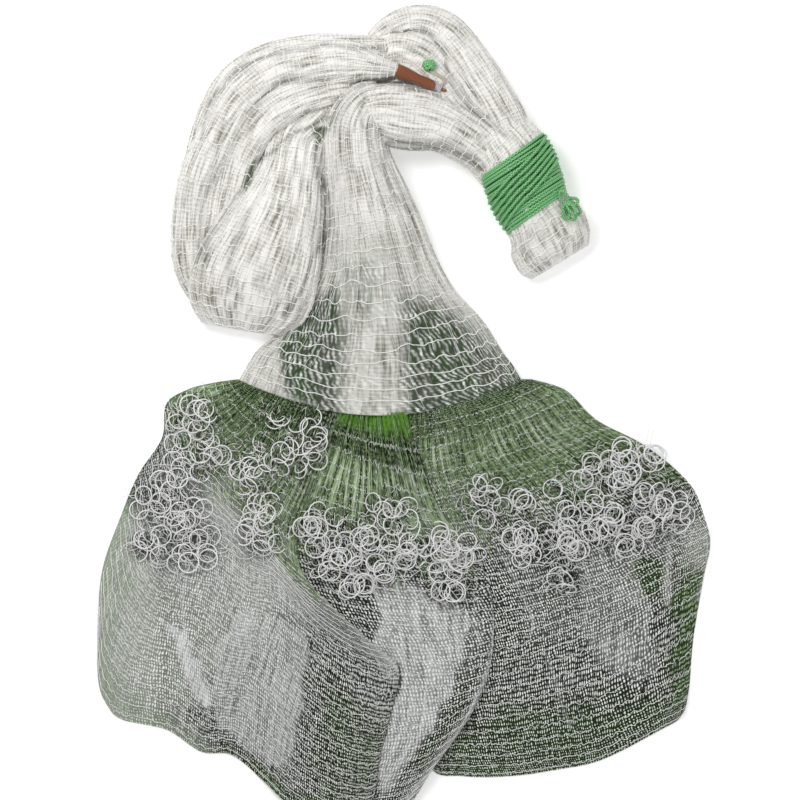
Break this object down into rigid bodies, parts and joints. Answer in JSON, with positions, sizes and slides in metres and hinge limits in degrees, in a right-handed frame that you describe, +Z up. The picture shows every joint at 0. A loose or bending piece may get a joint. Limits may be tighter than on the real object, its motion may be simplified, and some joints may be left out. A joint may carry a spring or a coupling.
{
  "type": "cast fishing net",
  "caption": "Hand-thrown cast net laid flat, its body gathered, looped and tied, its skirt in three lobes with ring sinkers.",
  "frame": {"origin": "middle of the net's outline in plan, on the surface it lies on", "axes": "+X across the net to its tied end's side, +Y from the skirt to the gathered body, +Z up"},
  "size_m": [0.9793, 1.3097, 0.0864],
  "materials": {
    "white_netting": "translucent white monofilament",
    "green_netting": "fine netting, green-tinted",
    "green_braid": "glossy braided cord",
    "brown_twine": "tight twine whipping",
    "cream_cord": "soft twisted cord",
    "white_thread": "white thread",
    "ring_steel": "bright plated wire"
  },
  "bodies": {
    "root": {"net_body": "white_netting", "skirt_left": "green_netting", "skirt_middle": "green_netting", "skirt_right": "green_netting", "hand_line_wrap": "green_braid", "hand_line_knot": "green_braid", "apex_knot": "green_braid", "apex_whipping": "brown_twine", "apex_loop": "cream_cord", "apex_lashing": "white_thread", "ring_01": "ring_steel", "ring_02": "ring_steel", "ring_03": "ring_steel", "ring_04": "ring_steel", "ring_05": "ring_steel", "ring_06": "ring_steel", "ring_07": "ring_steel", "ring_08": "ring_steel", "ring_09": "ring_steel", "ring_10": "ring_steel", "ring_11": "ring_steel", "ring_12": "ring_steel", "ring_13": "ring_steel", "ring_14": "ring_steel", "ring_15": "ring_steel", "ring_16": "ring_steel", "ring_17": "ring_steel", "ring_18": "ring_steel", "ring_19": "ring_steel", "ring_20": "ring_steel", "ring_21": "ring_steel", "ring_22": "ring_steel", "ring_23": "ring_steel", "ring_24": "ring_steel", "ring_25": "ring_steel", "ring_26": "ring_steel", "ring_27": "ring_steel", "ring_28": "ring_steel", "ring_29": "ring_steel", "ring_30": "ring_steel", "ring_31": "ring_steel", "ring_32": "ring_steel", "ring_33": "ring_steel", "ring_34": "ring_steel", "ring_35": "ring_steel", "ring_36": "ring_steel"}
  },
  "joints": []
}
